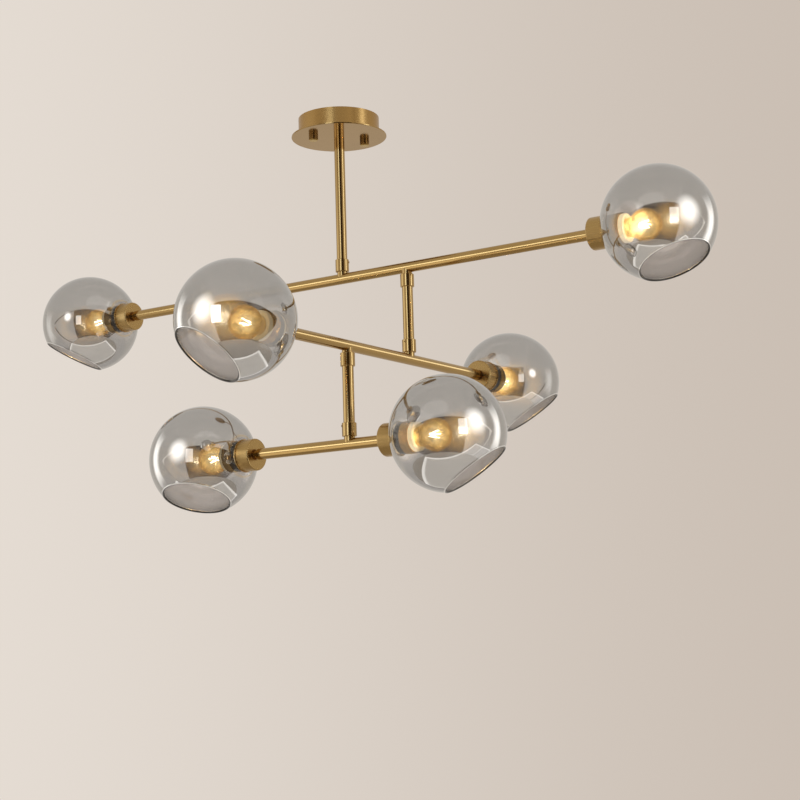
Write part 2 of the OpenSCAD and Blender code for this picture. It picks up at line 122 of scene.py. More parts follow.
def link_mesh(name, bm, smooth_angle):
    """Makes an object of bm, shaded smooth but for the edges where its faces turn by more than the angle."""
    mesh = bpy.data.meshes.new(name)
    bm.normal_update()
    bm.to_mesh(mesh)
    bm.free()
    obj = bpy.data.objects.new(name, mesh)
    scene.collection.objects.link(obj)
    normals = {}
    for p in mesh.polygons:
        p.use_smooth = True
        for key in p.edge_keys:
            normals.setdefault(key, []).append(p.normal.copy())
    least = math.cos(math.radians(smooth_angle))
    for e in mesh.edges:
        n = normals.get(tuple(sorted(e.vertices)), [])
        e.use_edge_sharp = len(n) != 2 or n[0].dot(n[1]) < least
    return obj


def arc(cx, cz, r, start, end, steps):
    """Points (x, z) on an arc, with angles in degrees from +x towards +z."""
    return [(cx + r * math.cos(math.radians(start + (end - start) * k / steps)),
             cz + r * math.sin(math.radians(start + (end - start) * k / steps))) for k in range(steps + 1)]


def revolve(bm, profile, segments, closed=False):
    """Turns (radius, height) points in mm about local Z. closed joins the last point to the first."""
    circle = [(math.cos(2 * math.pi * k / segments), math.sin(2 * math.pi * k / segments))
              for k in range(segments)]
    rings = []
    for r, z in profile:
        on_axis = r < 1e-3
        rings.append([bm.verts.new((r * MM * x, r * MM * y, z * MM))
                      for x, y in ([(0, 0)] if on_axis else circle)])
    pairs = list(zip(rings, rings[1:]))
    if closed:
        pairs.append((rings[-1], rings[0]))
    for a, b in pairs:
        for k in range(segments):
            j = (k + 1) % segments
            corners = list(dict.fromkeys((a[k % len(a)], a[j % len(a)], b[j % len(b)], b[k % len(b)])))
            if len(corners) > 2:
                bm.faces.new(corners)
    bmesh.ops.recalc_face_normals(bm, faces=bm.faces)


def turned(name, profile, matrix, segments, smooth_angle=35, closed=False):
    """A turned solid as an object."""
    bm = bmesh.new()
    revolve(bm, profile, segments, closed)
    bm.transform(matrix)
    return link_mesh(name, bm, smooth_angle)


def round_wire(name, points, radius, segments):
    """A round wire through world points, all in metres."""
    bm = bmesh.new()
    rings = []
    last = len(points) - 1
    for i, p in enumerate(points):
        along = (points[min(i + 1, last)] - points[max(i - 1, 0)]).normalized()
        side = along.cross(UP)
        if side.length < 1e-3:
            side = along.cross(Vector((1, 0, 0)))
        side.normalize()
        other = along.cross(side)
        rings.append([bm.verts.new(p + radius * (math.cos(2 * math.pi * k / segments) * side
                                                 + math.sin(2 * math.pi * k / segments) * other))
                      for k in range(segments)])
    for a, b in zip(rings, rings[1:]):
        for k in range(segments):
            j = (k + 1) % segments
            bm.faces.new((a[k], a[j], b[j], b[k]))
    bm.faces.new(rings[0][::-1])
    bm.faces.new(rings[-1])
    bmesh.ops.recalc_face_normals(bm, faces=bm.faces)
    return link_mesh(name, bm, 60)


# ---------------------------------------------------------------- node helpers

class Tree:
    """Adds nodes to one node tree. A value is a number, a colour, a vector or another node's output."""

    MIX_SOCKETS = {"RGBA": (6, 7, 2), "FLOAT": (2, 3, 0)}    # the two inputs and the output

    def __init__(self, tree):
        self.tree = tree

    def add(self, kind, **values):
        """A new node. Each value goes to its property, or else to its input, with _ for a space."""
        node = self.tree.nodes.new(kind)
        for key, value in values.items():
            if hasattr(node, key):
                setattr(node, key, value)
            else:
                node.inputs[key.replace("_", " ")].default_value = value
        return node

    def feed(self, socket, value):
        if isinstance(value, bpy.types.NodeSocket):
            self.tree.links.new(value, socket)
        elif socket.type == "RGBA":
            socket.default_value = (*value, 1)
        else:
            socket.default_value = value

    def math(self, operation, a, b=None, **values):
        node = self.add("ShaderNodeMath", operation=operation, **values)
        self.feed(node.inputs[0], a)
        if b is not None:
            self.feed(node.inputs[1], b)
        return node.outputs[0]

    def vector(self, operation, *values):
        node = self.add("ShaderNodeVectorMath", operation=operation)
        for socket, value in zip(node.inputs, values):
            self.feed(socket, value)
        return node.outputs["Value" if operation in ("LENGTH", "DOT_PRODUCT") else "Vector"]

    def axes(self, source):
        node = self.add("ShaderNodeSeparateXYZ")
        self.feed(node.inputs[0], source)
        return node.outputs

    def mix(self, factor, a, b, kind="RGBA"):
        first, second, result = self.MIX_SOCKETS[kind]
        node = self.add("ShaderNodeMix", data_type=kind)
        self.feed(node.inputs["Factor"], factor)
        self.feed(node.inputs[first], a)
        self.feed(node.inputs[second], b)
        return node.outputs[result]

    def remap(self, source, lo, hi, out_lo, out_hi):
        node = self.add("ShaderNodeMapRange", From_Min=lo, From_Max=hi, To_Min=out_lo, To_Max=out_hi)
        self.feed(node.inputs["Value"], source)
        return node.outputs[0]

    def smooth(self, source, lo, hi):
        """0 at lo and 1 at hi, with soft ends."""
        node = self.add("ShaderNodeMapRange", interpolation_type="SMOOTHSTEP", From_Min=lo, From_Max=hi)
        self.feed(node.inputs["Value"], source)
        return node.outputs[0]


class Material(Tree):
    """A material with one Principled shader. The values are those that are the same all over."""

    def __init__(self, name, **values):
        self.material = bpy.data.materials.new(name)
        self.material.use_nodes = True
        super().__init__(self.material.node_tree)
        self.tree.nodes.clear()
        out = self.add("ShaderNodeOutputMaterial")
        self.bsdf = self.add("ShaderNodeBsdfPrincipled", **values)
        self.feed(out.inputs[0], self.bsdf.outputs[0])

    def set(self, **values):
        for key, value in values.items():
            self.feed(self.bsdf.inputs[key.replace("_", " ")], value)

    def noise(self, scale, detail=3.0, stretch=(1, 1, 1), rough=0.5):
        mapping = self.add("ShaderNodeMapping", Scale=stretch)
        self.feed(mapping.inputs["Vector"], self.add("ShaderNodeTexCoord").outputs["Object"])
        noise = self.add("ShaderNodeTexNoise", Scale=scale, Detail=detail, Roughness=rough)
        self.feed(noise.inputs["Vector"], mapping.outputs[0])
        return noise.outputs["Fac"]

    def ramp(self, source, *stops):
        """Colours along source, each stop with its place and its colour."""
        ramp = self.add("ShaderNodeValToRGB")
        elements = ramp.color_ramp.elements
        while len(elements) < len(stops):
            elements.new(0.5)
        for element, (place, colour) in zip(elements, stops):
            element.position = place
            element.color = (*colour, 1)
        self.feed(ramp.inputs[0], source)
        return ramp.outputs["Color"]

    def facing(self):
        return self.add("ShaderNodeLayerWeight", Blend=0.5).outputs["Facing"]

    def schlick(self, base, top):
        """Reflection that rises from base face on to top at a grazing angle, the same from both sides."""
        return self.remap(self.math("POWER", self.facing(), 4.0), 0.0, 1.0, base, top)

    def bump(self, source, strength, distance):
        node = self.add("ShaderNodeBump", Strength=strength, Distance=distance)
        self.feed(node.inputs["Height"], source)
        return node.outputs[0]


# ---------------------------------------------------------------- materials

def brass(name, tone, dark, rough, stretch, grain, grain_scale=60):
    """Lacquered brass with a brushed grain along the direction that stretch leaves short."""
    m = Material(name, Metallic=1.0)
    cloud = m.noise(9, 4, rough=0.6)
    brushed = m.noise(grain_scale, 2, stretch)
    m.set(Base_Color=m.ramp(cloud, (0.3, dark), (0.7, tone)),
          Roughness=m.remap(brushed, 0.3, 0.7, *rough),
          Normal=m.bump(brushed, grain, 0.000004))
    return m.material


def nut_brass(name):
    """Brass nuts with a fine knurl on the side and a plain end face. The side is painted dark in the knurl's
    grooves as painted shade, and the end faces are painted lighter than the side as painted light.
    """
    m = Material(name, Metallic=1.0)
    knurl = m.noise(60, 2, (22, 22, 0.3))
    upright = m.axes(m.add("ShaderNodeNewGeometry").outputs["True Normal"])["Z"]
    # the end faces, painted lighter than the side: painted light
    painted_lit_ends = m.remap(m.math("ABSOLUTE", upright), 0.3, 0.8, 0.0, 1.0)
    # the knurled side, painted near black in its grooves: painted shade
    side = m.ramp(knurl, (0.42, (0.07, 0.035, 0.012)), (0.60, (0.42, 0.26, 0.09)))
    m.set(Base_Color=m.mix(painted_lit_ends, side, (0.62, 0.42, 0.13)),
          Roughness=m.remap(knurl, 0.3, 0.7, 0.16, 0.30),
          Normal=m.bump(knurl, 0.5, 0.0002))
    return m.material


def steel(name):
    """Zinc or nickel plated steel."""
    m = Material(name, Metallic=1.0)
    spots = m.noise(180, 4, rough=0.7)
    m.set(Base_Color=m.ramp(spots, (0.35, (0.48, 0.48, 0.46)), (0.65, (0.66, 0.66, 0.63))),
          Roughness=m.remap(spots, 0.3, 0.7, 0.28, 0.45))
    return m.material


def plastic(name, light, dark, rough, bump=0.1):
    """Plastic or rubber."""
    m = Material(name)
    spots = m.noise(250, 4, rough=0.6)
    m.set(Base_Color=m.ramp(spots, (0.3, dark), (0.7, light)),
          Roughness=m.remap(spots, 0.3, 0.7, rough * 0.85, rough * 1.2),
          Normal=m.bump(spots, bump, 0.0001))
    return m.material


def smoked_glass(name):
    """A smoke-grey glass whose outside has a half-mirror coating with a clear disc round the lamp holder.
    Three attributes of the mesh steer it: coat holds how dense the coating is, lip marks the melted edge of
    the mouth, painted with a bright highlight on its sides and a dark band of painted shade on its top, and
    ring marks a painted amber ring round the clear disc, a painted reflection of the brass cup."""
    full_cover, bare_cover, grazing_cover, lip_cover = 0.75, 0.05, 0.6, 0.92
    m = Material(name, Metallic=1.0)
    coat, lip, ring = (m.add("ShaderNodeAttribute", attribute_name=label).outputs["Fac"]
                       for label in ("coat", "lip", "ring"))
    inside = m.add("ShaderNodeNewGeometry").outputs["Backfacing"]
    haze = m.noise(14, 3)
    tint = m.ramp(coat, (0.0, (0.86, 0.85, 0.82)), (1.0, (0.600, 0.592, 0.578)))
    skin = m.mix(inside, tint, (0.76, 0.735, 0.725))
    # an amber ring painted round the clear disc: a painted reflection of the brass cup
    skin_with_painted_ring = m.mix(ring, skin, (0.92, 0.66, 0.26))
    # the melted edge: a painted highlight on the bead's sides and painted shade on its top
    edge = m.ramp(lip, (0.5, (0.95, 0.94, 0.92)), (0.75, (0.06, 0.055, 0.05)))
    cover = m.math("ADD", m.remap(coat, 0.0, 1.0, bare_cover, full_cover), m.schlick(0.0, grazing_cover),
                   use_clamp=True)
    m.set(Base_Color=m.mix(m.remap(lip, 0.0, 0.3, 0.0, 1.0), skin_with_painted_ring, edge),
          Roughness=m.mix(inside, m.remap(haze, 0.3, 0.7, 0.012, 0.026), 0.14, "FLOAT"),
          Alpha=m.math("MAXIMUM", cover, m.remap(lip, 0.0, 0.4, 0.0, lip_cover)))
    return m.material


def bulb_glass(name):
    """Amber tinted glass with fine ripples, with a painted glow for the light of the strips inside it: bright
    yellow where it faces the view and dark amber towards its rim.
    """
    m = Material(name, Metallic=0.75, IOR=1.5)
    swirl = m.noise(110, 5, rough=0.65)
    m.set(Base_Color=m.ramp(swirl, (0.35, (0.55, 0.36, 0.12)), (0.65, (0.90, 0.68, 0.32))),
          # painted glow of the strips inside, brightest face on and darkening to the rim
          Emission_Color=m.ramp(m.facing(), (0.0, (1.0, 0.84, 0.46)), (0.20, (0.90, 0.60, 0.19)),
                                (0.50, (0.36, 0.21, 0.055)), (1.0, (0.14, 0.08, 0.025))),
          Emission_Strength=m.remap(swirl, 0.36, 0.64, 0.95, 3.5),
          Roughness=m.remap(swirl, 0.3, 0.7, 0.03, 0.09),
          Normal=m.bump(swirl, 0.35, 0.0006),
          Alpha=m.schlick(0.26, 0.92))
    return m.material


def porcelain_with_painted_glow(name):
    """Cream porcelain with a painted warm glow that stands for the light of the lamp beside it."""
    m = Material(name)
    spots = m.noise(250, 4, rough=0.6)
    m.set(Base_Color=m.ramp(spots, (0.3, (0.78, 0.72, 0.60)), (0.7, (0.88, 0.82, 0.70))),
          Roughness=m.remap(spots, 0.3, 0.7, 0.18, 0.28),
          # painted glow: the lamp's light on the holder, painted as emission
          Emission_Color=m.ramp(spots, (0.3, (0.90, 0.68, 0.34)), (0.7, (1.0, 0.80, 0.46))),
          Emission_Strength=0.55)
    return m.material


def clear_glass(name):
    """The thin glass of a bulb's stem."""
    m = Material(name, Metallic=1.0)
    haze = m.noise(90, 3)
    m.set(Base_Color=m.ramp(haze, (0.3, (0.86, 0.80, 0.70)), (0.7, (0.95, 0.90, 0.80))),
          Roughness=m.remap(haze, 0.3, 0.7, 0.02, 0.06),
          Alpha=m.schlick(0.12, 0.9))
    return m.material


def glowing(name, colour, strength):
    """A light strip, coated with fine grains."""
    m = Material(name, Roughness=0.5)
    tone = m.ramp(m.noise(900, 2), (0.3, tuple(c * 0.9 for c in colour)), (0.7, colour))
    m.set(Base_Color=tone, Emission_Color=tone, Emission_Strength=strength)
    return m.material


def floor_pale(name):
    m = Material(name, Roughness=0.8)
    m.set(Base_Color=m.ramp(m.noise(3, 3), (0.3, (0.62, 0.58, 0.53)), (0.7, (0.66, 0.62, 0.57))))
    return m.material


X_GRAIN, Y_GRAIN, Z_GRAIN = (0.02, 12, 12), (12, 0.02, 12), (12, 12, 0.02)
TONE, TONE_DARK = (0.53, 0.345, 0.130), (0.49, 0.315, 0.115)
M = {
    "tube_x": brass("brass_tube_x", TONE, TONE_DARK, (0.12, 0.18), X_GRAIN, 0.08),
    "tube_y": brass("brass_tube_y", TONE, TONE_DARK, (0.12, 0.18), Y_GRAIN, 0.08),
    "tube_z": brass("brass_tube_z", TONE, TONE_DARK, (0.08, 0.13), Z_GRAIN, 0.05),
    "drum": brass("brass_drum", (0.50, 0.300, 0.100), (0.46, 0.270, 0.088), (0.22, 0.30), (1, 1, 0.02),
                  0.25, 90),
    "plate": brass("brass_plate", (0.50, 0.318, 0.120), (0.47, 0.296, 0.108), (0.10, 0.15), (1, 1, 1), 0.1),
    "cup_x": brass("brass_cup_x", TONE, TONE_DARK, (0.20, 0.30), (0.3, 5, 5), 0.4, 80),
    "cup_y": brass("brass_cup_y", TONE, TONE_DARK, (0.20, 0.30), (5, 0.3, 5), 0.4, 80),
    "small": brass("brass_small", TONE, TONE_DARK, (0.14, 0.24), (3, 3, 3), 0.2),
    "nut": nut_brass("brass_nuts"),
    "steel": steel("zinc_steel"),
    "black": plastic("black_gloss", (0.022, 0.020, 0.018), (0.010, 0.009, 0.009), 0.12, 0.05),
    "holder": porcelain_with_painted_glow("holder_porcelain"),
    "cable": plastic("cable_sheath", (0.05, 0.05, 0.05), (0.025, 0.025, 0.025), 0.55, 0.2),
    "block": plastic("block_white", (0.80, 0.79, 0.74), (0.72, 0.70, 0.66), 0.45),
    "glass": smoked_glass("smoked_glass"),
    "bulb": bulb_glass("bulb_glass"),
    "clear": clear_glass("bulb_stem_glass"),
    "filament": glowing("filament", (1.0, 0.88, 0.64), 22.0),
    "nickel": steel("nickel_cap"),
}


def paint(obj, material):
    obj.data.materials.clear()
    obj.data.materials.append(material)


# ---------------------------------------------------------------- CAD nodes

CAD_LOOK = {
    "ceiling_bracket": "steel", "bracket_studs": "steel", "stud_nuts": "steel", "earth_screw": "steel",
    "terminal_block": "block", "canopy_drum": "drum", "canopy_plate": "plate", "thumb_nuts": "nut",
    "stem_nipple": "small", "nipple_nut": "small", "stem_cable": "cable", "stem_tube": "tube_z",
    "stem_collar": "tube_z", "stem_collar_screw": "small",
    "arm_1_tube": "tube_x", "arm_2_tube": "tube_y", "arm_3_tube": "tube_x",
    "arm_1_spigots": "small", "arm_2_spigots": "small", "arm_3_spigot": "small",
    "arm_1_cable": "cable", "arm_2_cable": "cable", "arm_3_cable": "cable",
    "rod_1_tube": "tube_z", "rod_2_tube": "tube_z", "rod_1_collars": "tube_z", "rod_2_collars": "tube_z",
    "rod_1_collar_screws": "small", "rod_2_collar_screws": "small",
    "arm_1_gaskets": "black", "arm_2_gaskets": "black", "arm_3_gaskets": "black",
    "arm_1_shade_rings": "tube_x", "arm_2_shade_rings": "tube_y", "arm_3_shade_rings": "tube_x",
}
for socket_name in SOCKETS:
    CAD_LOOK[socket_name + "_cup"] = "cup_y" if socket_name.startswith("arm_2") else "cup_x"
    CAD_LOOK[socket_name + "_lamp_holder"] = "holder"
    CAD_LOOK[socket_name + "_bulb"] = "bulb"
    CAD_LOOK[socket_name + "_globe"] = "glass"
for node_name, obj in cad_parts.items():
    paint(obj, M[CAD_LOOK[node_name]])

# ---------------------------------------------------------------- globes

GLOBE_SEGMENTS = 144             # round the mouth's axis
SKIN_STEPS = 84                  # along each skin, from the lip to the far pole
LIP_STEPS = 24
LIP_ARC = (-10, 190)             # degrees of the melted edge's bead, from the sphere's normal
LIP_SPAN = 1.6                   # degrees of each skin that the bead takes
LIP_R = GLASS_T / 2 + 0.6
LIP_TOLERANCE = 0.3              # a vertex this near to the bead belongs to it
LIP_TOP, LIP_SIDE = 40, 75       # the bead's mark falls off between these degrees from its top
# the mark on the bead's sides, where the glass paints a bright highlight; it paints the top dark as painted
# shade
LIP_SIDE_MARK = 0.4
SKIN_TOLERANCE = 0.6             # a face this near to a skin belongs to it
INNER_R = GLOBE_R - GLASS_T
MIDDLE_R = GLOBE_R - GLASS_T / 2
CUT_AT = math.sqrt(GLOBE_R ** 2 - MOUTH_R ** 2)          # from the globe's centre
LIP_Z = CUT_AT - LIP_R
LIP_X = math.sqrt(MIDDLE_R ** 2 - LIP_Z ** 2)
LIP_HEADING = math.degrees(math.atan2(LIP_Z, LIP_X))     # of the sphere's normal at the lip

CLEAR_R = 28.5                   # of the disc without coating
PAINTED_RING_AT = CLEAR_R + 1.2          # the painted amber ring's middle, a painted reflection of the brass cup
PAINTED_RING_HALF = 2.0
# how the coating thickens round the lamp holder: it starts at one distance from the holder's axis
# and is full at the other (mm), from the least density
COAT_FADE = {
    "arm_1_left": (26, 44, 0.5),
    "arm_1_right": (26, 50, 0.3),
    "arm_2_front": (24, 40, 0.6),
    "arm_2_back": (26, 50, 0.35),
    "arm_3_left": (26, 42, 0.5),
    "arm_3_right": (26, 50, 0.3),
}
# a thin patch in the coating of two globes, through which the lamp holder shows: its direction from the
# globe's centre
THIN_PATCH = {
    "arm_1_right": Vector((-0.10, -0.98, -0.17)).normalized(),
    "arm_3_right": Vector((-0.28, -0.94, -0.19)).normalized(),
}
PATCH_R = 25.0
PATCH_LEAST = 0.10               # the density in its middle
PATCH_FADE = (0.8, 1.25)         # it ends between these shares of its radius


def ease(value, lo, hi):
    """0 at lo and 1 at hi, with soft ends."""
    t = min(1.0, max(0.0, (value - lo) / (hi - lo)))
    return t * t * (3 - 2 * t)


def globe_skin(radius):
    """Points of one skin from the lip to the far pole, as (radius, height) in mm."""
    start = math.degrees(math.acos(CUT_AT / radius)) + LIP_SPAN
    angles = [math.radians(start + (180 - start) * k / SKIN_STEPS) for k in range(SKIN_STEPS + 1)]
    return [(radius * math.sin(a), radius * math.cos(a)) for a in angles]


def cut_holder_hole(bm, centre, axis):
    """Cuts both skins square to the arm and joins the two cuts."""
    loops = []
    for radius in (GLOBE_R, INNER_R):
        at = centre + axis * math.sqrt(radius ** 2 - GLASS_HOLE_R ** 2) * MM
        skin = [f for f in bm.faces
                if abs((f.calc_center_median() - centre).length / MM - radius) < SKIN_TOLERANCE]
        edges = dict.fromkeys(e for f in skin for e in f.edges)
        verts = dict.fromkeys(v for f in skin for v in f.verts)
        cut = bmesh.ops.bisect_plane(bm, geom=[*skin, *edges, *verts], plane_co=at, plane_no=axis,
                                     clear_outer=True)
        loops.append([e for e in cut["geom_cut"] if isinstance(e, bmesh.types.BMEdge)])
    bmesh.ops.bridge_loops(bm, edges=loops[0] + loops[1])
    bmesh.ops.recalc_face_normals(bm, faces=bm.faces)


def coat_at(name, along, aside, direction):
    """The density of the coating at a point of the outer skin."""
    density = 1.0
    if along > 0:
        fade_from, fade_to, least = COAT_FADE[name]
        density = least + (1 - least) * ease(aside, fade_from, fade_to)
        if aside < CLEAR_R:
            density = 0.0
    if name in THIN_PATCH:
        off_middle = math.acos(min(1.0, direction.dot(THIN_PATCH[name]))) * GLOBE_R / PATCH_R
        density = min(density, PATCH_LEAST + (1 - PATCH_LEAST) * ease(off_middle, *PATCH_FADE))
    return density


def lip_at(up, out):
    """1 on the top of the lip, where the glass paints a dark band of painted shade, less on its two sides,
    where it paints a highlight, and 0 elsewhere.
    up and out are the point's distances along and off the mouth's axis."""
    if abs(math.hypot(out - LIP_X, up - LIP_Z) - LIP_R) >= LIP_TOLERANCE:
        return 0.0
    off_top = abs(math.degrees(math.atan2(up - LIP_Z, out - LIP_X)) - LIP_HEADING - 90)
    share = min(1.0, max(0.0, (LIP_SIDE - off_top) / (LIP_SIDE - LIP_TOP)))
    return LIP_SIDE_MARK + (1 - LIP_SIDE_MARK) * share


def mark_globe(obj, name, centre, axis, mouth_axis):
    """Writes the attributes that the glass material reads."""
    marks = {"coat": [], "lip": [], "ring": []}
    for v in obj.data.vertices:
        rel = (v.co - centre) / MM
        along = rel.dot(axis)
        aside = (rel - axis * along).length
        up = rel.dot(mouth_axis)
        outer = rel.length > MIDDLE_R
        marks["coat"].append(coat_at(name, along, aside, rel.normalized()) if outer else 0.0)
        marks["lip"].append(lip_at(up, (rel - mouth_axis * up).length))
        # where the glass paints its amber ring, a painted reflection of the brass cup
        marks["ring"].append(max(0.0, 1 - abs(aside - PAINTED_RING_AT) / PAINTED_RING_HALF) if outer and along > 0 else 0.0)
    for label, values in marks.items():
        obj.data.attributes.new(label, "FLOAT", "POINT").data.foreach_set("value", values)


def build_globe(name):
    """A blown shell with a fire-polished mouth and a hole for the lamp holder."""
    centre = Vector(SOCKETS[name][0]) * MM
    axis = (socket_matrix(name).to_3x3() @ UP).normalized()
    mouth_axis = (mouth_matrix(name).to_3x3() @ UP).normalized()
    lip = arc(LIP_X, LIP_Z, LIP_R, LIP_HEADING + LIP_ARC[0], LIP_HEADING + LIP_ARC[1], LIP_STEPS)
    bm = bmesh.new()
    revolve(bm, globe_skin(GLOBE_R)[::-1] + lip + globe_skin(INNER_R), GLOBE_SEGMENTS)
    bm.transform(mouth_matrix(name))
    cut_holder_hole(bm, centre, axis)
    obj = link_mesh(name + "_glass", bm, 25)
    mark_globe(obj, name, centre, axis, mouth_axis)
    paint(obj, M["glass"])
    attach(obj, name + "_globe")
    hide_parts(name + "_globe")


# ---------------------------------------------------------------- bulbs and lamp holders

BULB_WALL = 0.9
BULB_FRONT_AT = BULB_AT - BULB_R
BULB_CAP_AT = BULB_TIP_AT - 22.0         # the screw cap's open end
NECK_SHARE = 0.62                        # the ball meets the neck at this share of its radius
NECK_AT = BULB_AT + NECK_SHARE * BULB_R
THREAD_TURNS, THREAD_PITCH, THREAD_STEPS = 5, 3.2, 8
THREAD_R, THREAD_WAVE = 12.75, 0.45      # the thread's middle, and its wave to each side of it
STRIPS = 4                               # short light strips round the bulb's glass stem
STRIP_R, LEAD_R = 0.9, 0.25
# a strip's two ends: distance off the bulb's axis, twist round it (radians), place along it
STRIP_NEAR, STRIP_FAR = (2.0, 0.0, BULB_AT + 9), (5.0, 0.6, BULB_AT - 5)
STRIP_STEPS = 6
# where a lead wire starts and bends on its way to the strip, given as the strip's ends are
LEAD_START, LEAD_BEND = (1.2, 0.0, BULB_CAP_AT - 15), (1.9, 0.0, BULB_CAP_AT - 17)


def bulb_glass_profile():
    """The bulb's glass, outside and then inside, as (radius, height) in mm."""
    shoulder = math.degrees(math.asin(NECK_SHARE))
    outer = arc(0, BULB_AT, BULB_R, -90, shoulder, 40)
    outer[0] = (0.0, BULB_FRONT_AT)
    outer += [(15.6, NECK_AT + 3.6), (14.2, NECK_AT + 7.5),
              (13.2, BULB_CAP_AT - 2.0), (12.6, BULB_CAP_AT + 0.5)]
    inner = [(11.7, BULB_CAP_AT + 0.5), (12.3, BULB_CAP_AT - 2.0),
             (13.3, NECK_AT + 7.3), (14.7, NECK_AT + 3.3)]
    inner += arc(0, BULB_AT, BULB_R - BULB_WALL, shoulder - 1, -90, 40)
    inner[-1] = (0.0, BULB_FRONT_AT + BULB_WALL)
    return outer + inner


def bulb_cap_profile():
    """A rolled thread, the insulator and the contact."""
    thread = [(THREAD_R + THREAD_WAVE * math.cos(2 * math.pi * k / THREAD_STEPS),
               BULB_CAP_AT + 1.0 + k * THREAD_PITCH / THREAD_STEPS)
              for k in range(THREAD_TURNS * THREAD_STEPS + 1)]
    thread_end = thread[-1][1]
    return ([(12.4, BULB_CAP_AT - 0.4), (13.0, BULB_CAP_AT)] + thread
            + [(12.2, thread_end + 0.8), (9.0, BULB_TIP_AT - 2.2), (4.6, BULB_TIP_AT - 1.2),
               (4.0, BULB_TIP_AT - 0.3), (0.0, BULB_TIP_AT), (0.0, BULB_CAP_AT - 0.4)])


def bulb_stem_profile():
    """The glass stem that carries the wires, as (radius, distance before the cap)."""
    points = ((0, 0), (5.2, 0), (4.6, 4), (2.2, 9), (1.8, 14), (2.6, 17), (0, 17.6))
    return [(r, BULB_CAP_AT - before) for r, before in points]


def build_bulb(name):
    """The bulb's glass and screw cap, and inside it a glass stem with wires and light strips."""
    body = "arm_" + name[4]
    place = socket_matrix(name)

    def spot(angle, radius, twist, at):
        a = angle + twist
        return place @ (Vector((radius * math.cos(a), radius * math.sin(a), at)) * MM)

    glass = turned(name + "_bulb_glass", bulb_glass_profile(), place, 72, 40)
    paint(glass, M["bulb"])
    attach(glass, body)
    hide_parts(name + "_bulb")
    cap = turned(name + "_bulb_cap", bulb_cap_profile(), place, 64)
    paint(cap, M["nickel"])
    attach(cap, body)
    stem = turned(name + "_bulb_stem", bulb_stem_profile(), place, 32, 60)
    paint(stem, M["clear"])
    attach(stem, body)
    for k in range(STRIPS):
        a = math.radians(45 + 360 / STRIPS * k)
        near, far = spot(a, *STRIP_NEAR), spot(a, *STRIP_FAR)
        points = [near.lerp(far, step / STRIP_STEPS) for step in range(STRIP_STEPS + 1)]
        strip = round_wire("%s_strip_%d" % (name, k), points, STRIP_R * MM, 10)
        paint(strip, M["filament"])
        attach(strip, body)
        points = [spot(a, *LEAD_START), spot(a, *LEAD_BEND), near]
        wire = round_wire("%s_lead_%d" % (name, k), points, LEAD_R * MM, 6)
        paint(wire, M["nickel"])
        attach(wire, body)


HOLDER_BORE_R = 13.6
HOLDER_PITCH = 1.8                       # of the thread that carries the rings
HOLDER_THREAD_TO = SHADE_RING_AT - 10.5  # just before the shade ring
HOLDER_BASE_R, CORD_TUBE_R = 16, 5
HOLDER_BACK_AT = FACE_AT - 2.2


def holder_profile():
    """A threaded barrel with a rolled front edge, its base in the cup, and the bore for the bulb's cap."""
    front = HOLDER_FRONT_AT
    outside = [(HOLDER_BORE_R + 0.2, front + 0.6), (HOLDER_BORE_R + 1.2, front), (HOLDER_R - 1.2, front),
               (HOLDER_R - 0.3, front + 0.5)]
    z = front + 1.6
    while z < HOLDER_THREAD_TO - HOLDER_PITCH:
        outside += [(HOLDER_R - 0.75, z), (HOLDER_R - 0.7, z + 0.3), (HOLDER_R, z + 0.9), (HOLDER_R, z + 1.1)]
        z += HOLDER_PITCH
    outside += [(HOLDER_R, z), (HOLDER_R, LIP_AT + 4),
                (HOLDER_BASE_R, LIP_AT + 4), (HOLDER_BASE_R, FACE_AT - 5),
                (CORD_TUBE_R, HOLDER_BACK_AT), (0, HOLDER_BACK_AT)]
    bore = [(0, SOCKET_FLOOR_AT), (HOLDER_BORE_R, SOCKET_FLOOR_AT), (HOLDER_BORE_R, front + 2.0)]
    return outside + bore


def build_holder(name):
    """The lamp holder with its thread, base and bore."""
    body = "arm_" + name[4]
    holder = turned(name + "_holder", holder_profile(), socket_matrix(name), 72, 40, closed=True)
    paint(holder, M["holder"])
    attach(holder, body)
    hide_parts(name + "_lamp_holder")


for socket_name in SOCKETS:
    build_globe(socket_name)
    build_bulb(socket_name)
    build_holder(socket_name)

# ---------------------------------------------------------------- floor

FLOOR_Z = -2.7
FLOOR_R = 2.6
bm = bmesh.new()
bmesh.ops.create_circle(bm, cap_ends=True, segments=96, radius=FLOOR_R)
bm.transform(Matrix.Translation((0, 0, FLOOR_Z)))
floor = link_mesh("floor", bm, 35)
paint(floor, floor_pale("floor_pale"))

# ---------------------------------------------------------------- surroundings

# tones of the studio that the fixture mirrors, and the two ends of the pale wall that the camera sees
CEILING_TONE, WALL_TONE, FLOOR_TONE = (0.60, 0.57, 0.53), (0.60, 0.56, 0.51), (0.53, 0.50, 0.47)
DARK_TONE = (0.060, 0.043, 0.030)
PLAIN_LEFT, PLAIN_RIGHT = (0.795, 0.730, 0.665), (0.590, 0.515, 0.450)
# each pair is a soft edge, from nothing to all: the ceiling and the floor by the height of the direction
# looked in, the dark side by that height over its reach towards the camera, and by the reach itself
CEILING_EDGE, FLOOR_EDGE = (0.30, 0.40), (-0.30, -0.40)
DARK_TOP, DARK_BOTTOM, DARK_AHEAD = (0.50, 0.45), (-2.0, -1.85), (0.03, 0.10)
PLAIN_EDGE = (-0.35, 0.30)
LEAST_REACH = 0.02               # keeps the division clear of zero

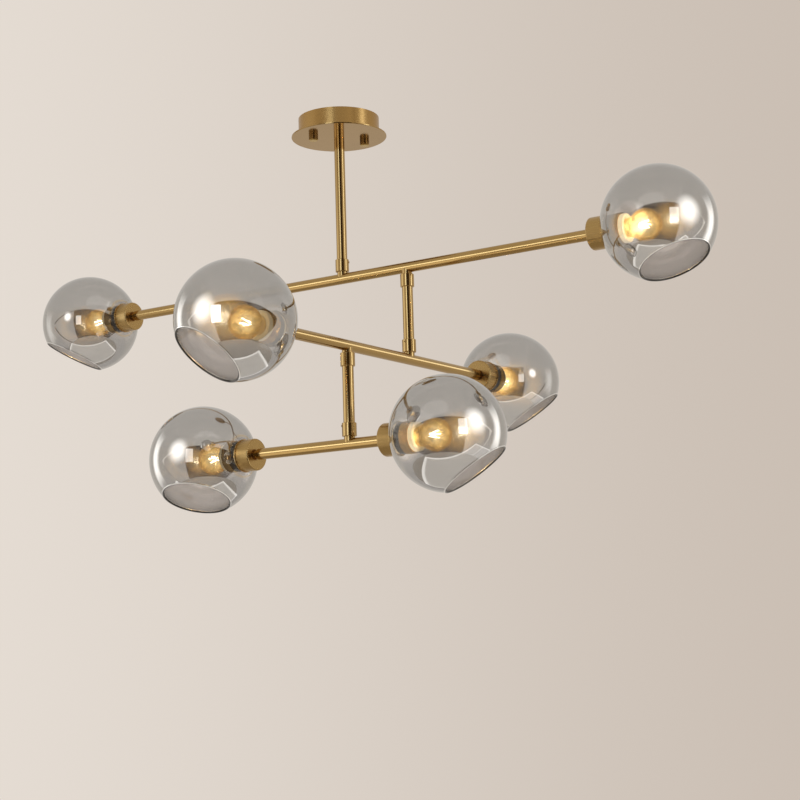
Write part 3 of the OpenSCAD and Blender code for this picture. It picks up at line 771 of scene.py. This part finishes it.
world = bpy.data.worlds.new("studio")
scene.world = world
world.use_nodes = True
sky = Tree(world.node_tree)
sky.tree.nodes.clear()
direction = sky.add("ShaderNodeTexCoord").outputs["Generated"]
height = sky.axes(direction)["Z"]
ahead = sky.vector("DOT_PRODUCT", direction, to_camera)
slope = sky.math("DIVIDE", height, sky.math("MAXIMUM", ahead, LEAST_REACH))
walls = sky.mix(sky.smooth(height, *CEILING_EDGE), WALL_TONE, CEILING_TONE)
walls = sky.mix(sky.smooth(height, *FLOOR_EDGE), walls, FLOOR_TONE)
# the dark side lies behind the camera and runs off to both sides between the ceiling and the floor
dark = sky.math("MULTIPLY", sky.smooth(slope, *DARK_TOP), sky.smooth(slope, *DARK_BOTTOM))
dark = sky.math("MULTIPLY", dark, sky.smooth(ahead, *DARK_AHEAD))
mirrored = sky.mix(dark, walls, DARK_TONE)
# the camera itself sees a plain pale wall, lighter on the left
sideways = sky.vector("DOT_PRODUCT", direction, to_right)
plain = sky.mix(sky.smooth(sideways, *PLAIN_EDGE), PLAIN_LEFT, PLAIN_RIGHT)
background = sky.add("ShaderNodeBackground")
sky.feed(background.inputs["Color"],
         sky.mix(sky.add("ShaderNodeLightPath").outputs["Is Camera Ray"], mirrored, plain))
sky.feed(sky.add("ShaderNodeOutputWorld").inputs[0], background.outputs[0])

# ---------------------------------------------------------------- lights

PANEL_TARGET = Vector((0.05, -0.05, -0.33))
WARM, WALL_WARM, TABLE_WARM, COOL = (1, 0.985, 0.96), (1, 0.96, 0.90), (1, 0.99, 0.97), (0.86, 1.0, 1.25)


def area_light(name, width, height, radiance, colour, shape="RECTANGLE"):
    light = bpy.data.lights.new(name, "AREA")
    light.shape = shape
    light.size, light.size_y = width, height
    light.energy = radiance * math.pi * width * height * (math.pi / 4 if shape == "DISK" else 1)
    light.color = colour
    return light


def glow_nodes(light):
    """The light's nodes, and the socket that scales its glow from point to point."""
    light.use_nodes = True
    return Tree(light.node_tree), light.node_tree.nodes["Emission"].inputs["Strength"]


def off_middle(nodes, shape="RECTANGLE"):
    """How far a point of an area light is off its middle: 0 there and 1 at the light's edge."""
    place = nodes.add("ShaderNodeNewGeometry").outputs["Parametric"]
    offset = nodes.vector("MULTIPLY", nodes.vector("SUBTRACT", place, (0.5, 0.5, 0.0)), (2.0, 2.0, 0.0))
    if shape == "DISK":
        return nodes.vector("LENGTH", offset)
    parts = nodes.axes(nodes.vector("ABSOLUTE", offset))
    return nodes.math("MAXIMUM", parts["X"], parts["Y"])


def hang(light, location, back):
    """Puts a light into the scene, with its back turned to the direction back."""
    obj = bpy.data.objects.new(light.name, light)
    obj.location = location
    obj.rotation_euler = back.to_track_quat("Z", "Y").to_euler()
    scene.collection.objects.link(obj)
    return obj


def only_for(light_obj, receivers):
    group = bpy.data.collections.new(light_obj.name + "_receivers")
    for r in receivers:
        group.objects.link(r)
    light_obj.light_linking.receiver_collection = group


def panel(name, receivers, azimuth, elevation, distance, width, height, radiance, shape="RECTANGLE", soft=0.0,
          colour=WARM):
    """A glowing panel that faces the fixture and lights only its receivers. azimuth is in degrees from the
    camera's side, to the photograph's right. soft is the share of its half width over which it fades out."""
    a, e = math.radians(azimuth), math.radians(elevation)
    back = (to_camera * math.cos(a) + to_right * math.sin(a)) * math.cos(e) + UP * math.sin(e)
    light = area_light(name, width, height, radiance, colour, shape)
    if soft:
        nodes, strength = glow_nodes(light)
        nodes.feed(strength, nodes.smooth(off_middle(nodes, shape), 1.0, 1.0 - soft))
    only_for(hang(light, PANEL_TARGET + back * distance, back), receivers)


def wall_panel(name, receivers, sign):
    """A big dim panel beside the camera. It lights only the part of the dark side that lies outwards, so
    its receivers mirror a pale wall there, and the other side's globes mirror the dark."""
    width, height, radiance = 9.6, 24.0, 0.50
    aside_at, ahead_at, height_at = 6.0, 4.8, -7.0       # its middle, from the fixture
    lit_from, least_reach = (0.60, 0.72), 0.05
    light = area_light(name, width, height, radiance, WALL_WARM)
    nodes, strength = glow_nodes(light)
    place = nodes.vector("SUBTRACT", nodes.add("ShaderNodeNewGeometry").outputs["Position"], PANEL_TARGET)
    reach = nodes.math("MAXIMUM", nodes.vector("DOT_PRODUCT", place, to_camera), least_reach)
    rise = nodes.math("DIVIDE", nodes.vector("DOT_PRODUCT", place, UP), reach)
    aside = nodes.math("DIVIDE", nodes.vector("DOT_PRODUCT", place, to_right * sign), reach)
    mask = nodes.math("MULTIPLY", nodes.smooth(rise, *DARK_TOP), nodes.smooth(rise, *DARK_BOTTOM))
    nodes.feed(strength, nodes.math("MULTIPLY", mask, nodes.smooth(aside, *lit_from)))
    location = PANEL_TARGET + to_right * sign * aside_at + to_camera * ahead_at + UP * height_at
    only_for(hang(light, location, to_right * sign), receivers)


def table_panel(name, receivers, middle, size, turn):
    """A pale rectangle below the fixture with a brighter edge. Each globe mirrors it beside its mouth."""
    table_z, inner_glow, edge = -1.48, 0.33, (0.90, 0.94)
    light = area_light(name, *size, 1.0, TABLE_WARM)
    nodes, strength = glow_nodes(light)
    nodes.feed(strength, nodes.remap(off_middle(nodes), *edge, inner_glow, 1.0))
    across = to_right * math.cos(math.radians(turn)) + to_camera * math.sin(math.radians(turn))
    obj = hang(light, (0, 0, 0), -UP)
    obj.matrix_world = (Matrix.Translation(to_right * middle[0] + to_camera * middle[1] + UP * table_z)
                        @ Matrix((across, (-UP).cross(across), -UP)).transposed().to_4x4())
    only_for(obj, receivers)


# The photograph shows one bright window on the outer side of each globe, so each side's panels light only its
# globes. It is smaller and fainter in the two globes that are farthest from the camera.
# name, receivers, azimuth outwards (or None for the side's strip) and the panel's other values
SIDE_PANELS = (
    ("_front_window", "front", 29, dict(elevation=1, distance=2.6, width=0.72, height=1.20, radiance=2.6)),
    ("_window", "middle", 28, dict(elevation=1, distance=2.6, width=0.70, height=1.20, radiance=1.15)),
    ("_key", "near", 53,
     dict(elevation=10, distance=2.6, width=2.6, height=2.6, radiance=2.4, shape="DISK", soft=1.0)),
    ("_far_window", "far", 30, dict(elevation=1, distance=2.6, width=0.62, height=1.00, radiance=1.1)),
    ("_far_key", "far", 58,
     dict(elevation=10, distance=2.6, width=1.1, height=1.1, radiance=3.0, shape="DISK", soft=1.0)),
    ("_strip", "near", None, dict(elevation=0, distance=2.8, width=1.5, height=3.4, radiance=1.7, soft=0.9)),
    ("_far_strip", "far", None,
     dict(elevation=0, distance=2.8, width=1.5, height=2.2, radiance=0.5, soft=0.9)),
)
STRIP_AZIMUTH = {"left": 113, "right": 104}
# the panel below each group of globes: its middle to the photograph's right and towards the camera (m),
# its size (m) and its turn (degrees)
TABLES = {
    "left": (("_table", "near", (-0.38, -0.27), (2.1, 1.6), 0),
             ("_far_table", "far", (-0.38, -0.36), (2.1, 1.4), 0)),
    "right": (("_table", "near", (0.85, 0.34), (2.9, 1.7), 15),
              ("_far_table", "far", (0.85, 0.0), (2.9, 1.7), 15)),
}
# Brass: bright lines in the upright tubes and the drum, and one along each arm.
BRASS_PANELS = (
    ("upright_left_line", "upright",
     dict(azimuth=-23, elevation=0, distance=2.9, width=0.86, height=2.6, radiance=2.1, colour=COOL)),
    ("upright_right_line", "upright",
     dict(azimuth=73, elevation=0, distance=2.9, width=0.75, height=2.6, radiance=2.2, colour=COOL)),
    ("upright_left_side", "upright",
     dict(azimuth=-90, elevation=0, distance=2.9,
          width=2.6, height=2.6, radiance=0.8, soft=0.6, colour=COOL)),
    ("drum_fill", "drum",
     dict(azimuth=12, elevation=18, distance=2.9, width=2.9, height=2.2, radiance=0.42, soft=0.4)),
    ("arm_x_line", "arms_x",
     dict(azimuth=-67, elevation=4, distance=2.9,
          width=1.7, height=0.95, radiance=2.3, soft=0.25, colour=COOL)),
    ("arm_x_below", "arms_x",
     dict(azimuth=-67, elevation=-32, distance=2.9, width=2.4, height=2.2, radiance=0.55, soft=0.4)),
    ("arm_y_line", "arms_y",
     dict(azimuth=112, elevation=10, distance=2.9,
          width=1.7, height=0.75, radiance=1.7, soft=0.25, colour=COOL)),
)

LEFT_SIDE = ("arm_1_left", "arm_2_front", "arm_3_left")
FAR_SIDE = ("arm_1_left", "arm_2_back")
meshes = [o for o in scene.objects if o.type == "MESH" and o is not floor]
glassy = [o for o in meshes if o.name.startswith(tuple(SOCKETS)) and not o.name.endswith("_cup")]
metal = [o for o in meshes if o not in glassy]
for side, sign in (("left", -1), ("right", 1)):
    glass = [o for o in glassy if o.name.startswith(LEFT_SIDE) == (side == "left")]
    near = [o for o in glass if not o.name.startswith(FAR_SIDE)]
    front = [o for o in near if o.name.startswith("arm_2_front")]
    groups = {"near": near, "front": front, "middle": [o for o in near if o not in front],
              "far": [o for o in glass if o not in near]}
    wall_panel(side + "_wall", glass + metal, sign)
    for label, group, azimuth, values in SIDE_PANELS:
        if groups[group]:
            outwards = STRIP_AZIMUTH[side] if azimuth is None else azimuth
            panel(side + label, groups[group], azimuth=sign * outwards, **values)
    for label, group, middle, size, turn in TABLES[side]:
        table_panel(side + label, groups[group], middle, size, turn)
groups = {"arms_x": [o for o in metal if o.name in ("arm_1_tube", "arm_3_tube")],
          "arms_y": [o for o in metal if o.name == "arm_2_tube"],
          "drum": [o for o in metal if o.name == "canopy_drum"]}
groups["upright"] = [o for o in metal if o not in groups["arms_x"] and o not in groups["arms_y"]]
for label, group, values in BRASS_PANELS:
    panel(label, groups[group], **values)

# ---------------------------------------------------------------- picture

scene.view_settings.view_transform = "Standard"
scene.view_settings.look = "None"
scene.cycles.max_bounces = 14
scene.cycles.transparent_max_bounces = 24
scene.cycles.glossy_bounces = 8
scene.cycles.sample_clamp_indirect = 6.0

# a faint bloom round the brightest spots, as in the photograph
scene.use_nodes = True
compositor = Tree(scene.node_tree)
compositor.tree.nodes.clear()
layers = compositor.add("CompositorNodeRLayers")
bloom = compositor.add("CompositorNodeGlare", glare_type="BLOOM", quality="HIGH",
                       Threshold=1.2, Strength=0.35, Size=0.25)
picture = compositor.add("CompositorNodeComposite")
compositor.feed(bloom.inputs["Image"], layers.outputs["Image"])
compositor.feed(picture.inputs["Image"], bloom.outputs["Image"])
